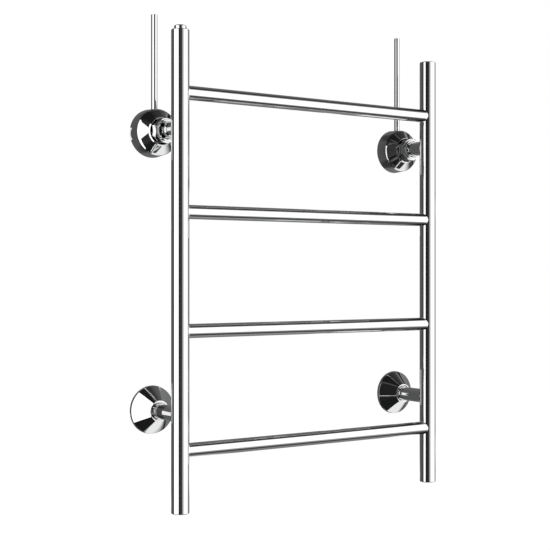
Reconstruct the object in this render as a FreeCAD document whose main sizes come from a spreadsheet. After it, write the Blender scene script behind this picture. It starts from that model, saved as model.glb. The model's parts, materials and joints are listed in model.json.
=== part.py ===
import FreeCAD, Part
import os
import re
import Sketcher

# A hydronic ladder towel warmer, in millimetres, hung on a wall.
# Row frame: the wall is the plane Y = 0, the rack stands in front of it at negative Y,
# X runs to the right along the rungs, Z is up, and the origin is the middle of the four
# wall fixings. Each wall fitting is drawn in its own local frame, with local Z pointing
# out of the wall and local Y up, and OUT_OF_WALL turns it into the row frame.

Vector = FreeCAD.Vector
OUT_OF_WALL = FreeCAD.Rotation(Vector(1, 0, 0), 90)
UPRIGHT = FreeCAD.Rotation()

DIMENSIONS = [
    # Welded ladder
    ("rack_height", 740, "length of each upright"),
    ("upright_spacing", 500, "between the upright axes"),
    ("upright_diameter", 28, "outside of the upright tube"),
    ("upright_wall", 1.5, "wall of the upright tube"),
    ("rung_diameter", 22, "outside of a rung tube"),
    ("rung_wall", 1.2, "wall of a rung tube"),
    ("rung_margin", 95.5, "tube end to the nearest rung axis"),
    ("tube_edge_round", 0.8, "rounding of a tube's sawn end"),
    ("end_plug_depth", 3, "thickness of a welded end plug"),
    # Where the rack stands off the wall
    ("wall_distance", 94, "wall to the upright axes"),
    ("fixing_margin", 150, "tube end to the nearest fixing axis"),
    ("stub_diameter", 24, "outside of an inlet stub and of a bracket arm"),
    ("stub_wall", 1.5, "wall of an inlet stub"),
    # Screw holes shared by all the wall plates
    ("screw_spacing", 44, "between the two screw holes of a plate"),
    ("screw_hole_diameter", 5.5, "screw hole in a wall plate"),
    ("plate_edge", 5.25, "screw hole to the edge of a wall plate"),
    ("plate_thickness", 4, "thickness of a wall plate"),
    # Wall elbow, behind a cover cup
    ("backing_thickness", 1, "sheet of the backing plate"),
    ("backing_rim_depth", 4.5, "depth of the backing plate's rim"),
    ("neck_diameter", 29, "neck of the elbow"),
    ("thread_length", 17, "length of the union thread"),
    ("thread_diameter", 33.2, "union thread of the elbow, one inch pipe"),
    ("elbow_face", 41, "wall to the sealing face of the elbow"),
    ("water_bore", 18, "water way of the elbow"),
    ("water_bore_floor", 6, "wall to the blind end of the water way"),
    ("port_shoulder", 1.7, "boss of the upward port beyond its thread"),
    ("port_rise", 2.5, "top of that boss above the neck"),
    ("port_thread_length", 7, "thread of the upward port"),
    ("port_bore", 7.2, "water way of the port"),
    ("pipe_socket_depth", 5, "how far the feed pipe enters the port"),
    # Feed pipe and its compression joint
    ("pipe_diameter", 10, "outside of a feed pipe"),
    ("pipe_wall", 1, "wall of a feed pipe"),
    ("pipe_nut_gap", 0.34, "backing plate to the corner of the compression nut"),
    ("left_pipe_rise", 188, "fixing axis to the top of the left feed pipe"),
    ("right_pipe_rise", 206, "fixing axis to the top of the right feed pipe"),
    ("pipe_nut_wall", 1.2, "compression nut's flat beyond its thread"),
    ("pipe_nut_start", 1, "boss to the bottom of the compression nut"),
    ("pipe_nut_length", 12, "length of the compression nut"),
    ("olive_length", 4, "length of the olive"),
    ("olive_wall", 1, "wall of the olive"),
    ("olive_room", 0.3, "olive to the outside of the port thread"),
    # Union between elbow and stub
    ("gasket_thickness", 2, "union gasket"),
    ("collar_gap", 1.48, "collar of a stub to the bore of the union nut"),
    ("collar_thickness", 3, "thickness of that collar"),
    ("slip_washer_thickness", 1.4, "washer between collar and union nut"),
    ("nut_wall", 2.32, "union nut's flat beyond its thread"),
    ("nut_grip", 11, "how far the nut reaches back over the thread"),
    ("nut_lip", 3.6, "lip of the nut that holds the collar"),
    ("nut_ring_step", 1.8, "flat of the nut down to its turned front ring"),
    ("nut_ring_length", 3.5, "length of the turned ring"),
    ("nut_ring_wall", 1.7, "wall of the turned ring round its recess"),
    ("nut_recess_depth", 4, "recess in the front of the nut"),
    ("nut_back_chamfer", 1.75, "length of the chamfer at the nut's back"),
    ("nut_round_share", 0.45, "rounding of the turned ring, in shares of its wall"),
    # Cover cup
    ("cup_diameter", 77, "cup at the wall"),
    ("cup_front_diameter", 74, "cup at the front of its collar"),
    ("cup_collar_depth", 23, "wall to the front of the collar"),
    ("cup_overlap", 6, "how far the cup reaches over the union nut"),
    ("cup_lip_depth", 1.4, "length of the straight lip"),
    ("cup_lip_wall", 1.4, "wall of the lip round the nut"),
    ("cup_wall", 1, "sheet of the cup"),
    ("cup_dome_radius", 30, "radius of the domed front"),
    ("cup_edge_round", 0.8, "rounding between collar and dome"),
    # Lower bracket and its rosette
    ("arm_wall", 3, "wall of a bracket arm"),
    ("spigot_length", 32, "spigot of the wall socket"),
    ("arm_gap", 2, "socket plate to the end of the arm"),
    ("grub_diameter", 4.9, "grub screw, M5"),
    ("grub_offset", 12, "wall to the grub screw axis"),
    ("grub_socket_flats", 2.5, "hexagon socket of the grub screw"),
    ("grub_socket_depth", 1.8, "depth of that socket"),
    ("rosette_diameter", 77, "rosette at the wall"),
    ("rosette_rim_draft", 0.6, "how much smaller the rim's front is"),
    ("rosette_rim_depth", 5, "depth of the straight rim"),
    ("rosette_depth", 28.5, "wall to the front lip"),
    ("rosette_lip_width", 2, "width of the front lip"),
    ("rosette_throat_gap", 2.5, "arm to the throat of the rosette"),
    ("rosette_throat_wall", 1.2, "wall of the throat tube"),
    ("rosette_throat_depth", 14, "length of the throat tube"),
    ("rosette_wall", 1.2, "sheet of the rosette"),
    ("lip_round_share", 0.45, "rounding of that lip, in shares of its width"),
    ("friction_ring_inset", 7.5, "front lip back to the friction ring"),
    ("friction_ring_length", 5, "length of the friction ring"),
    # Air vent in the top of the left upright
    ("boss_depth", 10, "threaded boss in the tube end"),
    ("vent_thread_diameter", 13, "thread of the vent body"),
    ("vent_washer_thickness", 1.2, "sealing washer of the vent"),
    ("vent_flange_diameter", 18, "flange of the vent body"),
    ("vent_flange_thickness", 2, "thickness of that flange"),
    ("needle_bore", 6.4, "bore of the vent body"),
    ("needle_bore_floor", 6, "tube end down to the needle's seat"),
    ("vent_orifice", 2, "air way below the needle"),
    ("needle_tip_diameter", 1.6, "flat at the tip of the needle"),
    ("needle_tip_length", 2, "cone of the needle"),
    ("needle_head", 2.4, "tube end up to the needle's head"),
    ("needle_slot_width", 0.9, "screwdriver slot"),
    ("needle_slot_depth", 1.2, "depth of that slot"),
    ("ring_groove_top", 1, "tube end down to the O-ring groove"),
    ("ring_groove_width", 1.5, "width of the O-ring groove"),
    ("ring_groove_diameter", 4.4, "floor of the O-ring groove"),
    ("vent_cap_wall", 0.55, "side wall of the vent cap"),
    ("vent_cap_top", 7, "tube end up to the top of the cap"),
    ("vent_cap_lift", 0.3, "gap under the cap"),
    ("vent_cap_roof", 1.5, "thickness of the cap's top"),
    ("vent_cap_round", 2.4, "rounding of the cap's top edge"),
    # Clearances
    ("running_clearance", 0.05, "radial gap of a part that slides or turns on another"),
    ("thread_clearance", 0.08, "radial gap that stands for a thread"),
    ("seat_clearance", 0.1, "gap where a part drops into a seat"),
    ("cup_clearance", 0.45, "corner of the union nut to the cup's lip"),
]

RUNG_COUNT = 4
SIDES = (("left", "-1"), ("right", "1"))
OCTAGON_CORNER = "/ (2 * cos(22.5))"
HEXAGON_CORNER = "/ (2 * cos(30))"
OCTAGON = 8
HEXAGON = 6
RIGHT = 1
LEFT = -1

doc = FreeCAD.newDocument("towel_warmer")
sheet = doc.addObject("Spreadsheet::Sheet", "Sizes")
for row, (alias, value, meaning) in enumerate(DIMENSIONS, 1):
    sheet.set(f"A{row}", meaning)
    sheet.set(f"B{row}", str(value))
    sheet.setAlias(f"B{row}", alias)
doc.recompute()


# Formulas: every size is written as arithmetic on the sheet's aliases

def bound(formula):
    """The formula with each alias (a name with an underscore) read from the sheet."""
    return re.sub(r"[a-z]+(?:_[a-z]+)+", lambda name: "Sizes." + name.group(0), formula)


def value_of(formula):
    """What a formula comes to, in millimetres."""
    return float(sheet.evalExpression(bound(formula)))


def bind(thing, path, formula):
    """Tie one property of an object to the sheet."""
    thing.setExpression(path, bound(formula))


def place(body, x, y, z, rotation=UPRIGHT):
    """Put a body at a bound position in the row frame."""
    body.Placement = FreeCAD.Placement(Vector(0, 0, 0), rotation)
    for axis, formula in (("x", x), ("y", y), ("z", z)):
        bind(body, f"Placement.Base.{axis}", formula)
    return body


# Sketches and features

def new_body(label):
    """An empty body whose label names the part."""
    body = doc.addObject("PartDesign::Body", label)
    body.Label = label
    return body


def plane_of(body, role):
    """One of the body's own origin planes."""
    return next(item for item in body.Origin.OriginFeatures if item.Role == role)


def new_sketch(body, role):
    """An empty sketch on one of the body's origin planes."""
    sketch = body.newObject("Sketcher::SketchObject", body.Label + "_sketch")
    sketch.AttachmentSupport = (plane_of(body, role), "")
    sketch.MapMode = "FlatFace"
    return sketch


def hold_point(sketch, geometry, end, x, y):
    """Fix one end of a sketch line, or a circle's centre, at bound coordinates."""
    for kind, formula in (("DistanceX", x), ("DistanceY", y)):
        held = Sketcher.Constraint(kind, geometry, end, value_of(formula))
        index = sketch.addConstraint(held)
        bind(sketch, f"Constraints[{index}]", formula)


def circle(sketch, x, y, diameter):
    """A circle with bound centre and diameter."""
    centre = Vector(value_of(x), value_of(y), 0)
    radius = value_of(f"({diameter}) / 2")
    index = sketch.addGeometry(Part.Circle(centre, Vector(0, 0, 1), radius), False)
    hold_point(sketch, index, 3, x, y)
    held = sketch.addConstraint(Sketcher.Constraint("Radius", index, radius))
    bind(sketch, f"Constraints[{held}]", f"({diameter}) / 2")


def bulging_arc(start, end, radius, side):
    """An arc from start to end that bulges to the right (1) or left (-1) of the way it runs."""
    chord = end - start
    outwards = Vector(chord.y, -chord.x, 0).normalize() * side
    centre = start + chord / 2 - outwards * (radius ** 2 - (chord.Length / 2) ** 2) ** 0.5
    middle = centre + outwards * radius
    return Part.Arc(start, middle, end) if side > 0 else Part.Arc(end, middle, start)


def outline(sketch, corners):
    """A closed outline of corners (x, y), or (x, y, radius, side) where an arc comes next."""
    first = sketch.GeometryCount
    points = [Vector(value_of(corner[0]), value_of(corner[1]), 0) for corner in corners]
    ends = []
    for index, corner in enumerate(corners):
        start = points[index]
        end = points[(index + 1) % len(points)]
        if len(corner) == 2:
            sketch.addGeometry(Part.LineSegment(start, end), False)
            ends.append((1, 2))
            continue
        radius, side = corner[2:]
        arc = sketch.addGeometry(bulging_arc(start, end, value_of(radius), side), False)
        held = sketch.addConstraint(Sketcher.Constraint("Radius", arc, value_of(radius)))
        bind(sketch, f"Constraints[{held}]", radius)
        ends.append((1, 2) if side > 0 else (2, 1))
    for index, corner in enumerate(corners):
        following = (index + 1) % len(corners)
        joined = (first + index, ends[index][1], first + following, ends[following][0])
        sketch.addConstraint(Sketcher.Constraint("Coincident", *joined))
        hold_point(sketch, first + index, ends[index][0], corner[0], corner[1])


def turn(body, corners, cut=False):
    """Turn an outline of (radius, height) corners about local Z, adding or cutting."""
    sketch = new_sketch(body, "XZ_Plane")
    outline(sketch, corners)
    kind = "Groove" if cut else "Revolution"
    feature = body.newObject("PartDesign::" + kind, body.Label + "_" + kind.lower())
    feature.Profile = sketch
    feature.ReferenceAxis = (sketch, ["V_Axis"])
    feature.Angle = 360
    return feature


def through_hole(body, role, holes):
    """Cut round holes (x, y, diameter) right through, both ways from an origin plane."""
    sketch = new_sketch(body, role)
    for x, y, diameter in holes:
        circle(sketch, x, y, diameter)
    feature = body.newObject("PartDesign::Pocket", body.Label + "_through")
    feature.Profile = sketch
    feature.Midplane = True
    feature.Type = "ThroughAll"
    return feature


def one_way_cut(body, role, holes, length, reverse):
    """Cut round holes one way only, from an origin plane to a bound depth."""
    sketch = new_sketch(body, role)
    for x, y, diameter in holes:
        circle(sketch, x, y, diameter)
    feature = body.newObject("PartDesign::Pocket", body.Label + "_hole")
    feature.Profile = sketch
    feature.Reversed = reverse
    bind(feature, "Length", length)
    return feature


def round_pad(body, role, x, y, diameter, length, reverse):
    """Add a round boss from an origin plane."""
    sketch = new_sketch(body, role)
    circle(sketch, x, y, diameter)
    feature = body.newObject("PartDesign::Pad", body.Label + "_boss")
    feature.Profile = sketch
    feature.Reversed = reverse
    bind(feature, "Length", length)
    return feature


def prism(body, kind, sides, corner_diameter, start, length):
    """Add or cut a regular prism about local Z."""
    feature = body.newObject("PartDesign::" + kind, body.Label + "_prism")
    feature.Polygon = sides
    feature.AttachmentSupport = (plane_of(body, "XY_Plane"), "")
    feature.MapMode = "FlatFace"
    bind(feature, "Circumradius", corner_diameter)
    bind(feature, "AttachmentOffset.Base.z", start)
    bind(feature, "Height", length)
    return feature


def soften(body, rings, radius):
    """Round the circular edges about local Z that lie at the given (diameter, height)."""
    doc.recompute()
    base = body.Tip
    wanted = [(value_of(f"({ring[0]}) / 2"), value_of(ring[1])) for ring in rings]
    names = []
    for index, edge in enumerate(base.Shape.Edges, 1):
        curve = edge.Curve
        if not isinstance(curve, Part.Circle) or abs(abs(curve.Axis.z) - 1) > 1e-6:
            continue
        if any(abs(curve.Radius - r) + abs(curve.Center.z - z) < 1e-4 for r, z in wanted):
            names.append(f"Edge{index}")
    feature = body.newObject("PartDesign::Fillet", body.Label + "_round")
    feature.Base = (base, names)
    bind(feature, "Radius", radius)
    return feature


def ring_outline(inner, outer, low, high):
    """The outline of a plain ring of the given diameters between two heights."""
    inner_radius = f"({inner}) / 2"
    outer_radius = f"({outer}) / 2"
    return [
        (inner_radius, low),
        (outer_radius, low),
        (outer_radius, high),
        (inner_radius, high),
    ]


def plain_ring(label, inner, outer, low, high):
    """A ring, washer, tube or, with no bore, a disc."""
    body = new_body(label)
    turn(body, ring_outline(inner, outer, low, high))
    return body


# Shared positions, as formulas

HALF_HOCTAGON = "rack_height / 2"
FIXING_LEVEL = "(rack_height / 2 - fixing_margin)"
RUNG_PITCH = f"((rack_height - 2 * rung_margin) / {RUNG_COUNT - 1})"
UPRIGHT_BORE = "(upright_diameter - 2 * upright_wall)"


def rung_level(number):
    """Height of a rung's axis, counted from the top."""
    return f"rack_height / 2 - rung_margin - {number - 1} * {RUNG_PITCH}"


def side_x(sign):
    """X of an upright's axis."""
    return f"{sign} * upright_spacing / 2"


def put_on_wall(body, sign, level_sign):
    """Put a wall fitting at an upper ("1") or lower ("-1") fixing point."""
    return place(body, side_x(sign), "0", f"{level_sign} * {FIXING_LEVEL}", OUT_OF_WALL)


# The welded ladder

def upright(label, sign):
    """A tube with rounded ends and the water holes to the rungs and the inlet stub."""
    body = plain_ring(label, UPRIGHT_BORE, "upright_diameter", f"-{HALF_HOCTAGON}", HALF_HOCTAGON)
    ends = [("upright_diameter", f"-{HALF_HOCTAGON}"), ("upright_diameter", HALF_HOCTAGON)]
    soften(body, ends, "tube_edge_round")
    rung_bore = "rung_diameter - 2 * rung_wall"
    rung_holes = [("0", rung_level(number), rung_bore) for number in range(1, RUNG_COUNT + 1)]
    one_way_cut(body, "YZ_Plane", rung_holes, "upright_diameter", sign == "-1")
    stub_hole = [("0", FIXING_LEVEL, "stub_diameter - 2 * stub_wall")]
    one_way_cut(body, "XZ_Plane", stub_hole, "upright_diameter", False)
    return place(body, side_x(sign), "-wall_distance", "0")


def rung(number):
    """A cross tube, its ends cut to sit on the round of the uprights."""
    body = new_body(f"rung_{number}")
    sketch = new_sketch(body, "YZ_Plane")
    circle(sketch, "0", "0", "rung_diameter")
    circle(sketch, "0", "0", "rung_diameter - 2 * rung_wall")
    tube = body.newObject("PartDesign::Pad", body.Label + "_tube")
    tube.Profile = sketch
    tube.Midplane = True
    bind(tube, "Length", "upright_spacing")
    saddles = [(side_x(sign), "0", "upright_diameter") for _, sign in SIDES]
    through_hole(body, "XY_Plane", saddles)
    return place(body, "0", "-wall_distance", rung_level(number))


def end_plug(label, sign, bottom):
    """A disc welded flush into a tube end."""
    body = new_body(label)
    turn(body, ring_outline("0", UPRIGHT_BORE, "0", "end_plug_depth"))
    level = f"-{HALF_HOCTAGON}" if bottom else f"{HALF_HOCTAGON} - end_plug_depth"
    return place(body, side_x(sign), "-wall_distance", level)


# Air vent, in the top of the left upright; local heights are counted from the tube end

NEEDLE = "(needle_bore - 2 * thread_clearance)"


def on_vent(body):
    """Put a vent part on the top of the left upright."""
    return place(body, side_x("-1"), "-wall_distance", HALF_HOCTAGON)


def vent_boss():
    """The threaded ring welded into the tube end."""
    bore = "vent_thread_diameter + 2 * thread_clearance"
    return on_vent(plain_ring("vent_boss", bore, UPRIGHT_BORE, "-boss_depth", "0"))


def vent_body():
    """The vent's hollow plug: thread, flange, needle bore and air way."""
    body = new_body("vent_body")
    flange_top = "vent_washer_thickness + vent_flange_thickness"
    turn(body, [
        ("vent_orifice / 2", "-boss_depth"),
        ("vent_thread_diameter / 2", "-boss_depth"),
        ("vent_thread_diameter / 2", "vent_washer_thickness"),
        ("vent_flange_diameter / 2", "vent_washer_thickness"),
        ("vent_flange_diameter / 2", flange_top),
        ("needle_bore / 2", flange_top),
        ("needle_bore / 2", "-needle_bore_floor"),
        ("vent_orifice / 2", "-needle_bore_floor"),
    ])
    return on_vent(body)


def vent_washer():
    """The flat washer under the vent's flange."""
    inner = "vent_thread_diameter + 2 * seat_clearance"
    outer = "vent_flange_diameter - 2 * seat_clearance"
    return on_vent(plain_ring("vent_washer", inner, outer, "0", "vent_washer_thickness"))


def vent_needle():
    """The bleed needle: conical tip, O-ring groove and a slotted head."""
    body = new_body("vent_needle")
    cone_top = "needle_tip_length - needle_bore_floor"
    groove_low = "-ring_groove_top - ring_groove_width"
    turn(body, [
        ("0", "-needle_bore_floor"),
        ("needle_tip_diameter / 2", "-needle_bore_floor"),
        (f"{NEEDLE} / 2", cone_top),
        (f"{NEEDLE} / 2", groove_low),
        ("ring_groove_diameter / 2", groove_low),
        ("ring_groove_diameter / 2", "-ring_groove_top"),
        (f"{NEEDLE} / 2", "-ring_groove_top"),
        (f"{NEEDLE} / 2", "needle_head"),
        ("0", "needle_head"),
    ])
    sketch = new_sketch(body, "XZ_Plane")
    half_slot = "needle_slot_width / 2"
    slot_floor = "needle_head - needle_slot_depth"
    outline(sketch, [
        (f"-{half_slot}", slot_floor),
        (half_slot, slot_floor),
        (half_slot, "needle_head"),
        (f"-{half_slot}", "needle_head"),
    ])
    slot = body.newObject("PartDesign::Pocket", "vent_needle_slot")
    slot.Profile = sketch
    slot.Midplane = True
    slot.Type = "ThroughAll"
    return on_vent(body)


def vent_o_ring():
    """The needle's seal, which rises and falls with it."""
    inner = "ring_groove_diameter + 2 * running_clearance"
    outer = "needle_bore - 2 * running_clearance"
    low = "seat_clearance - ring_groove_top - ring_groove_width"
    high = "-ring_groove_top - seat_clearance"
    return on_vent(plain_ring("vent_o_ring", inner, outer, low, high))


def vent_cap():
    """The round push-on cap over the vent."""
    body = new_body("vent_cap")
    roof = "vent_cap_top - vent_cap_roof"
    inside = "(vent_flange_diameter / 2 + running_clearance)"
    outside = f"({inside} + vent_cap_wall)"
    turn(body, [
        (inside, "vent_cap_lift"),
        (outside, "vent_cap_lift"),
        (outside, "vent_cap_top"),
        ("0", "vent_cap_top"),
        ("0", roof),
        (inside, roof),
    ])
    soften(body, [(f"2 * {outside}", "vent_cap_top")], "vent_cap_round")
    return on_vent(body)


# Upper fixings: the water enters here

PORT_THREAD = "(pipe_diameter + 2 * olive_wall + 2 * olive_room)"
PORT_BOSS = f"({PORT_THREAD} + 2 * port_shoulder)"
PORT_BOSS_TOP = "(neck_diameter / 2 + port_rise)"
PORT_TOP = f"({PORT_BOSS_TOP} + port_thread_length)"
PIPE_NUT_CORNER = f"(({PORT_THREAD} + 2 * pipe_nut_wall) {HEXAGON_CORNER})"
PIPE_OFFSET = f"(backing_thickness + {PIPE_NUT_CORNER} + pipe_nut_gap)"
ELBOW_PLATE_FRONT = "(backing_thickness + plate_thickness)"
THREAD_START = "(elbow_face - thread_length)"
COLLAR_BACK = "(elbow_face + gasket_thickness)"
COLLAR_FRONT = f"({COLLAR_BACK} + collar_thickness)"
LIP_BACK = f"({COLLAR_FRONT} + slip_washer_thickness)"
LIP_FRONT = f"({LIP_BACK} + nut_lip)"
NUT_BACK = "(elbow_face - nut_grip)"
NUT_FRONT = f"({LIP_FRONT} + nut_recess_depth)"
CUP_DEPTH = f"({NUT_BACK} + cup_overlap)"
LIP_BORE = "(stub_diameter + 2 * seat_clearance)"
NUT_BORE = "(thread_diameter + 2 * thread_clearance)"
COLLAR = f"({NUT_BORE} - 2 * collar_gap)"
NUT_FLATS = f"({NUT_BORE} + 2 * nut_wall)"
NUT_CORNER = f"({NUT_FLATS} {OCTAGON_CORNER})"
NUT_RING = f"({NUT_FLATS} - 2 * nut_ring_step)"
PLATE = "(screw_spacing + screw_hole_diameter + 2 * plate_edge)"
PLATE_HOLES = [
    ("-screw_spacing / 2", "0", "screw_hole_diameter"),
    ("screw_spacing / 2", "0", "screw_hole_diameter"),
]


def backing_plate(label, sign):
    """A shallow pressed pan behind the elbow; the cover cup pushes over its rim."""
    body = new_body(label)
    slope = "(cup_diameter - cup_front_diameter) / (cup_collar_depth - cup_wall)"
    cup_inside = f"cup_diameter - 2 * cup_wall - backing_rim_depth * {slope}"
    rim = f"({cup_inside}) / 2 - running_clearance"
    turn(body, [
        ("0", "0"),
        (rim, "0"),
        (rim, "backing_rim_depth"),
        (f"{rim} - backing_thickness", "backing_rim_depth"),
        (f"{rim} - backing_thickness", "backing_thickness"),
        ("0", "backing_thickness"),
    ])
    through_hole(body, "XY_Plane", PLATE_HOLES)
    return put_on_wall(body, sign, "1")


def wall_elbow(label, sign):
    """The brass elbow: flatted plate, neck, union thread, and a port that points up."""
    body = new_body(label)
    turn(body, [
        ("0", "backing_thickness"),
        (f"{PLATE} / 2", "backing_thickness"),
        (f"{PLATE} / 2", ELBOW_PLATE_FRONT),
        ("neck_diameter / 2", ELBOW_PLATE_FRONT),
        ("neck_diameter / 2", THREAD_START),
        ("thread_diameter / 2", THREAD_START),
        ("thread_diameter / 2", "elbow_face"),
        ("0", "elbow_face"),
    ])
    flats = new_sketch(body, "XY_Plane")
    for sense in ("1", "-1"):
        outline(flats, [
            (f"-{PLATE}", f"{sense} * neck_diameter / 2"),
            (PLATE, f"{sense} * neck_diameter / 2"),
            (PLATE, f"{sense} * {PLATE}"),
            (f"-{PLATE}", f"{sense} * {PLATE}"),
        ])
    shaving = body.newObject("PartDesign::Pocket", label + "_flats")
    shaving.Profile = flats
    shaving.Reversed = True
    bind(shaving, "Length", ELBOW_PLATE_FRONT)
    round_pad(body, "XZ_Plane", "0", PIPE_OFFSET, PORT_BOSS, PORT_BOSS_TOP, True)
    round_pad(body, "XZ_Plane", "0", PIPE_OFFSET, PORT_THREAD, PORT_TOP, True)
    turn(body, ring_outline("0", "water_bore", "water_bore_floor", "elbow_face"), cut=True)
    port = [("0", PIPE_OFFSET, "port_bore")]
    one_way_cut(body, "XZ_Plane", port, PORT_TOP, False)
    socket = new_sketch(body, "XZ_Plane")
    circle(socket, "0", PIPE_OFFSET, "pipe_diameter + 2 * seat_clearance")
    bind(socket, "AttachmentOffset.Base.z", f"pipe_socket_depth - {PORT_TOP}")
    seat = body.newObject("PartDesign::Pocket", label + "_socket")
    seat.Profile = socket
    bind(seat, "Length", "pipe_socket_depth")
    one_way_cut(body, "XY_Plane", PLATE_HOLES, ELBOW_PLATE_FRONT, True)
    return put_on_wall(body, sign, "1")


def union_gasket(label, sign):
    """The flat ring between the elbow's face and the stub's collar."""
    body = plain_ring(label, "water_bore", COLLAR, "elbow_face", COLLAR_BACK)
    return put_on_wall(body, sign, "1")


def inlet_stub(label, sign):
    """The collared tail pipe, cut to sit on the back of the upright."""
    body = new_body(label)
    bore = "(stub_diameter - 2 * stub_wall) / 2"
    turn(body, [
        (bore, COLLAR_BACK),
        (f"{COLLAR} / 2", COLLAR_BACK),
        (f"{COLLAR} / 2", COLLAR_FRONT),
        ("stub_diameter / 2", COLLAR_FRONT),
        ("stub_diameter / 2", "wall_distance"),
        (bore, "wall_distance"),
    ])
    through_hole(body, "XZ_Plane", [("0", "wall_distance", "upright_diameter")])
    return put_on_wall(body, sign, "1")


def slip_washer(label, sign):
    """The nylon washer that lets the union nut turn on the collar, and travels with it."""
    body = plain_ring(label, LIP_BORE, COLLAR, COLLAR_FRONT, LIP_BACK)
    return put_on_wall(body, sign, "1")


def union_nut(label, sign):
    """The eight-sided union nut, with a turned ring and a recess at its front."""
    body = new_body(label)
    flats_end = f"{NUT_FRONT} - nut_ring_length"
    prism(body, "AdditivePrism", OCTAGON, NUT_CORNER, NUT_BACK, f"{flats_end} - {NUT_BACK}")
    ring_start = f"{flats_end} - nut_ring_length"
    turn(body, ring_outline("0", NUT_RING, ring_start, NUT_FRONT))
    for inner_height, outer_height in (
        (flats_end, ring_start),
        (NUT_BACK, f"{NUT_BACK} + nut_back_chamfer"),
    ):
        turn(body, [
            (f"{NUT_FLATS} / 2", inner_height),
            (NUT_FLATS, inner_height),
            (NUT_FLATS, outer_height),
        ], cut=True)
    recess = f"{NUT_RING} / 2 - nut_ring_wall"
    turn(body, [
        ("0", NUT_BACK),
        (f"{NUT_BORE} / 2", NUT_BACK),
        (f"{NUT_BORE} / 2", LIP_BACK),
        (f"{LIP_BORE} / 2", LIP_BACK),
        (f"{LIP_BORE} / 2", LIP_FRONT),
        (recess, LIP_FRONT),
        (recess, NUT_FRONT),
        ("0", NUT_FRONT),
    ], cut=True)
    front_edges = [(NUT_RING, NUT_FRONT), (f"2 * ({recess})", NUT_FRONT)]
    soften(body, front_edges, "nut_ring_wall * nut_round_share")
    put_on_wall(body, sign, "1")
    half_side = FreeCAD.Rotation(Vector(0, 0, 1), 360 / OCTAGON / 2)
    body.Placement.Rotation = OUT_OF_WALL.multiply(half_side)
    return body


def cover_cup(label, sign):
    """The deep cup over the elbow, with a notch at its top that clears the feed pipe."""
    body = new_body(label)
    mouth = f"{NUT_CORNER} + cup_clearance"
    lip_back = f"{CUP_DEPTH} - cup_lip_depth"
    turn(body, [
        ("cup_diameter / 2 - cup_wall", "0"),
        ("cup_diameter / 2", "0"),
        ("cup_front_diameter / 2", "cup_collar_depth", "cup_dome_radius", RIGHT),
        (f"{mouth} + cup_lip_wall", lip_back),
        (f"{mouth} + cup_lip_wall", CUP_DEPTH),
        (mouth, CUP_DEPTH),
        (mouth, f"{lip_back} - cup_wall", "cup_dome_radius - cup_wall", LEFT),
        ("cup_front_diameter / 2 - cup_wall", "cup_collar_depth - cup_wall"),
    ])
    notch = new_sketch(body, "XY_Plane")
    half_notch = "(pipe_diameter / 2 + cup_clearance)"
    outline(notch, [
        (f"-{half_notch}", f"{NUT_FLATS} / 2"),
        (half_notch, f"{NUT_FLATS} / 2"),
        (half_notch, "cup_diameter"),
        (f"-{half_notch}", "cup_diameter"),
    ])
    slot = body.newObject("PartDesign::Pocket", label + "_notch")
    slot.Profile = notch
    slot.Reversed = True
    bind(slot, "Length", PIPE_OFFSET)
    notch_end = [("0", PIPE_OFFSET, f"2 * {half_notch}")]
    one_way_cut(body, "XZ_Plane", notch_end, "cup_diameter", False)
    soften(body, [("cup_front_diameter", "cup_collar_depth")], "cup_edge_round")
    return put_on_wall(body, sign, "1")


def on_port(body, sign):
    """Put a part on the axis of an elbow's upward port; its heights count from the fixing axis."""
    return place(body, side_x(sign), f"-{PIPE_OFFSET}", FIXING_LEVEL)


def feed_pipe(label, sign, rise):
    """The plain feed pipe that runs up along the wall."""
    bore = "pipe_diameter - 2 * pipe_wall"
    low = f"{PORT_TOP} - pipe_socket_depth"
    return on_port(plain_ring(label, bore, "pipe_diameter", low, rise), sign)


def olive(label, sign):
    """The compression ring on the feed pipe."""
    outer = "pipe_diameter + 2 * olive_wall"
    high = f"{PORT_TOP} + olive_length"
    return on_port(plain_ring(label, "pipe_diameter", outer, PORT_TOP, high), sign)


def pipe_nut(label, sign):
    """The hexagon compression nut over olive and port thread."""
    body = new_body(label)
    nut_bottom = f"{PORT_BOSS_TOP} + pipe_nut_start"
    prism(body, "AdditivePrism", HEXAGON, PIPE_NUT_CORNER, nut_bottom, "pipe_nut_length")
    thread = f"{PORT_THREAD} / 2 + thread_clearance"
    pipe = "pipe_diameter / 2 + seat_clearance"
    shoulder = f"{PORT_TOP} + olive_length + seat_clearance"
    nut_top = f"{nut_bottom} + pipe_nut_length"
    turn(body, [
        ("0", nut_bottom),
        (thread, nut_bottom),
        (thread, shoulder),
        (pipe, shoulder),
        (pipe, nut_top),
        ("0", nut_top),
    ], cut=True)
    return on_port(body, sign)


# Lower fixings: brackets only

ARM_BORE = "(stub_diameter - 2 * arm_wall)"
THROAT = "(stub_diameter + 2 * rosette_throat_gap)"


def wall_socket(label, sign):
    """A round wall plate with the spigot that the bracket arm slides over."""
    body = new_body(label)
    spigot = f"{ARM_BORE} / 2 - seat_clearance"
    turn(body, [
        ("0", "0"),
        (f"{PLATE} / 2", "0"),
        (f"{PLATE} / 2", "plate_thickness"),
        (spigot, "plate_thickness"),
        (spigot, "plate_thickness + spigot_length"),
        ("0", "plate_thickness + spigot_length"),
    ])
    through_hole(body, "XY_Plane", PLATE_HOLES)
    return put_on_wall(body, sign, "-1")


def bracket_arm(label, sign):
    """The tube from the upright to the wall socket, with a tapped hole for the grub screw."""
    start = "plate_thickness + arm_gap"
    body = plain_ring(label, ARM_BORE, "stub_diameter", start, "wall_distance")
    through_hole(body, "XZ_Plane", [("0", "wall_distance", "upright_diameter")])
    tapped = [("0", "grub_offset", "grub_diameter + 2 * running_clearance")]
    one_way_cut(body, "XZ_Plane", tapped, "stub_diameter", True)
    return put_on_wall(body, sign, "-1")


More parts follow.
